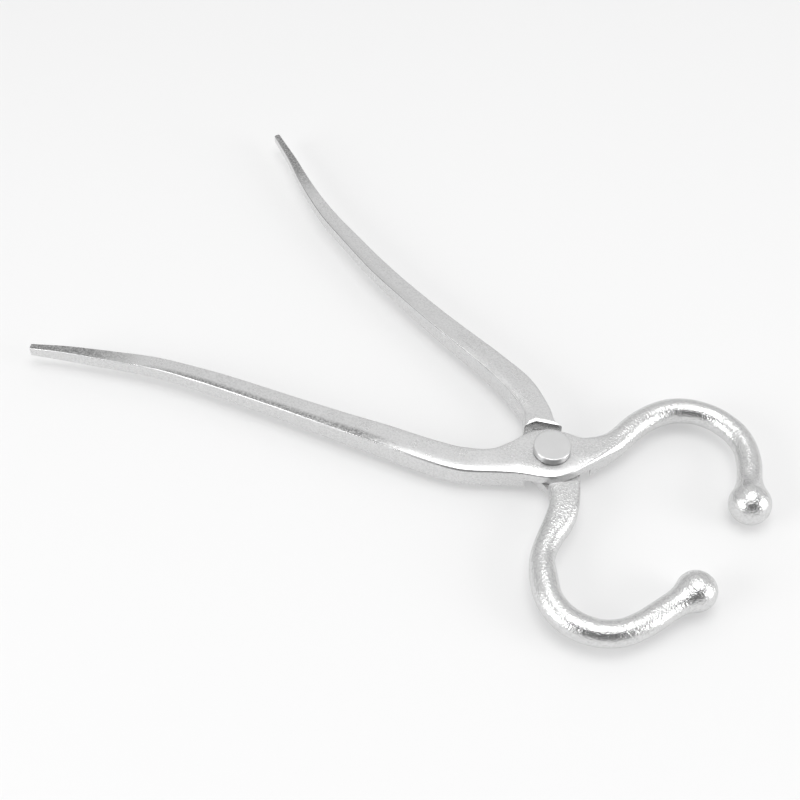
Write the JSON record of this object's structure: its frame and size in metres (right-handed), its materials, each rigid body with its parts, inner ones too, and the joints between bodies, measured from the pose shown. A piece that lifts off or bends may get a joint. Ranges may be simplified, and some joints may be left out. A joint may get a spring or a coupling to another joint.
{
  "type": "cattle nose pliers",
  "caption": "Hand-held cattle nose pliers: crossed forged levers on a rivet, with curved round jaws that end in balls and close on the animal's nose.",
  "frame": {"origin": "middle of the rivet's flat underside, on the pivot's axis", "axes": "+Z along the rivet towards its head, +X from the pivot towards the jaws, +Y towards the upper lever's jaw"},
  "size_m": [0.3526, 0.2029, 0.02],
  "materials": {
    "forged_stainless": "forged and tumbled bright on the jaws and balls, belt-ground satin on the handles",
    "rivet_stainless": "turned stainless rod with a matt, flat pressed head"
  },
  "bodies": {
    "lower": {"lower_lever": "forged_stainless", "pivot_rivet": "rivet_stainless"},
    "upper": {"upper_lever": "forged_stainless"}
  },
  "joints": [
    {"name": "pivot", "type": "hinge", "parent": "lower", "child": "upper", "pos_m": [0, 0, 0.009], "axis": [0, 0, 1], "range_deg": [-22, 28]}
  ]
}
